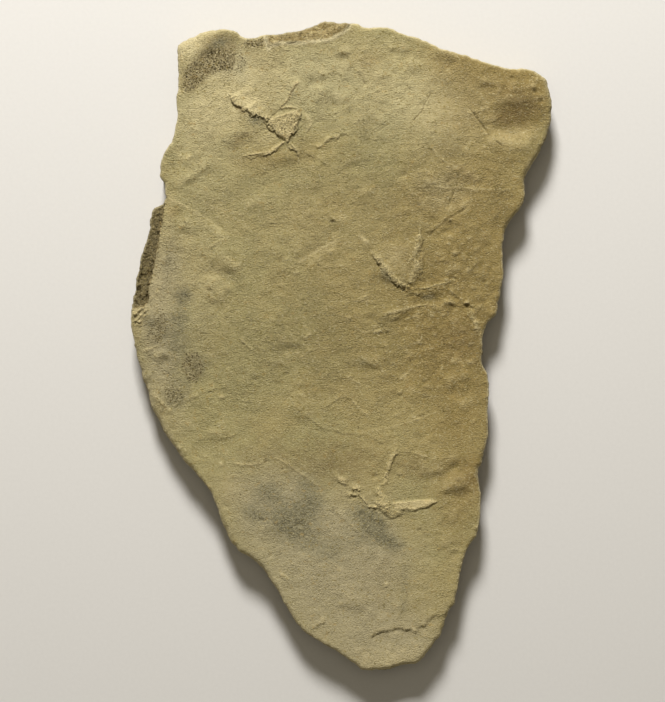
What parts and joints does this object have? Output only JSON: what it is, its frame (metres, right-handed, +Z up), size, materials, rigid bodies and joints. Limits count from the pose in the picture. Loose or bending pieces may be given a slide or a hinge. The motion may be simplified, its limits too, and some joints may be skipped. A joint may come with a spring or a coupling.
{
  "type": "fossil bird footprint slab",
  "caption": "Thin loose slab of tan siltstone with broken edges, lying on its back, with raised fossil bird tracks on its upper bedding surface.",
  "frame": {"origin": "centre of the outline's box, on the surface that the slab's back rests on", "axes": "+Y along the slab towards its wide end, +Z up out of the track face, +X across it"},
  "size_m": [0.1316, 0.2034, 0.012],
  "materials": {
    "siltstone": "matte"
  },
  "bodies": {
    "root": {"track_slab": "siltstone"}
  },
  "joints": []
}
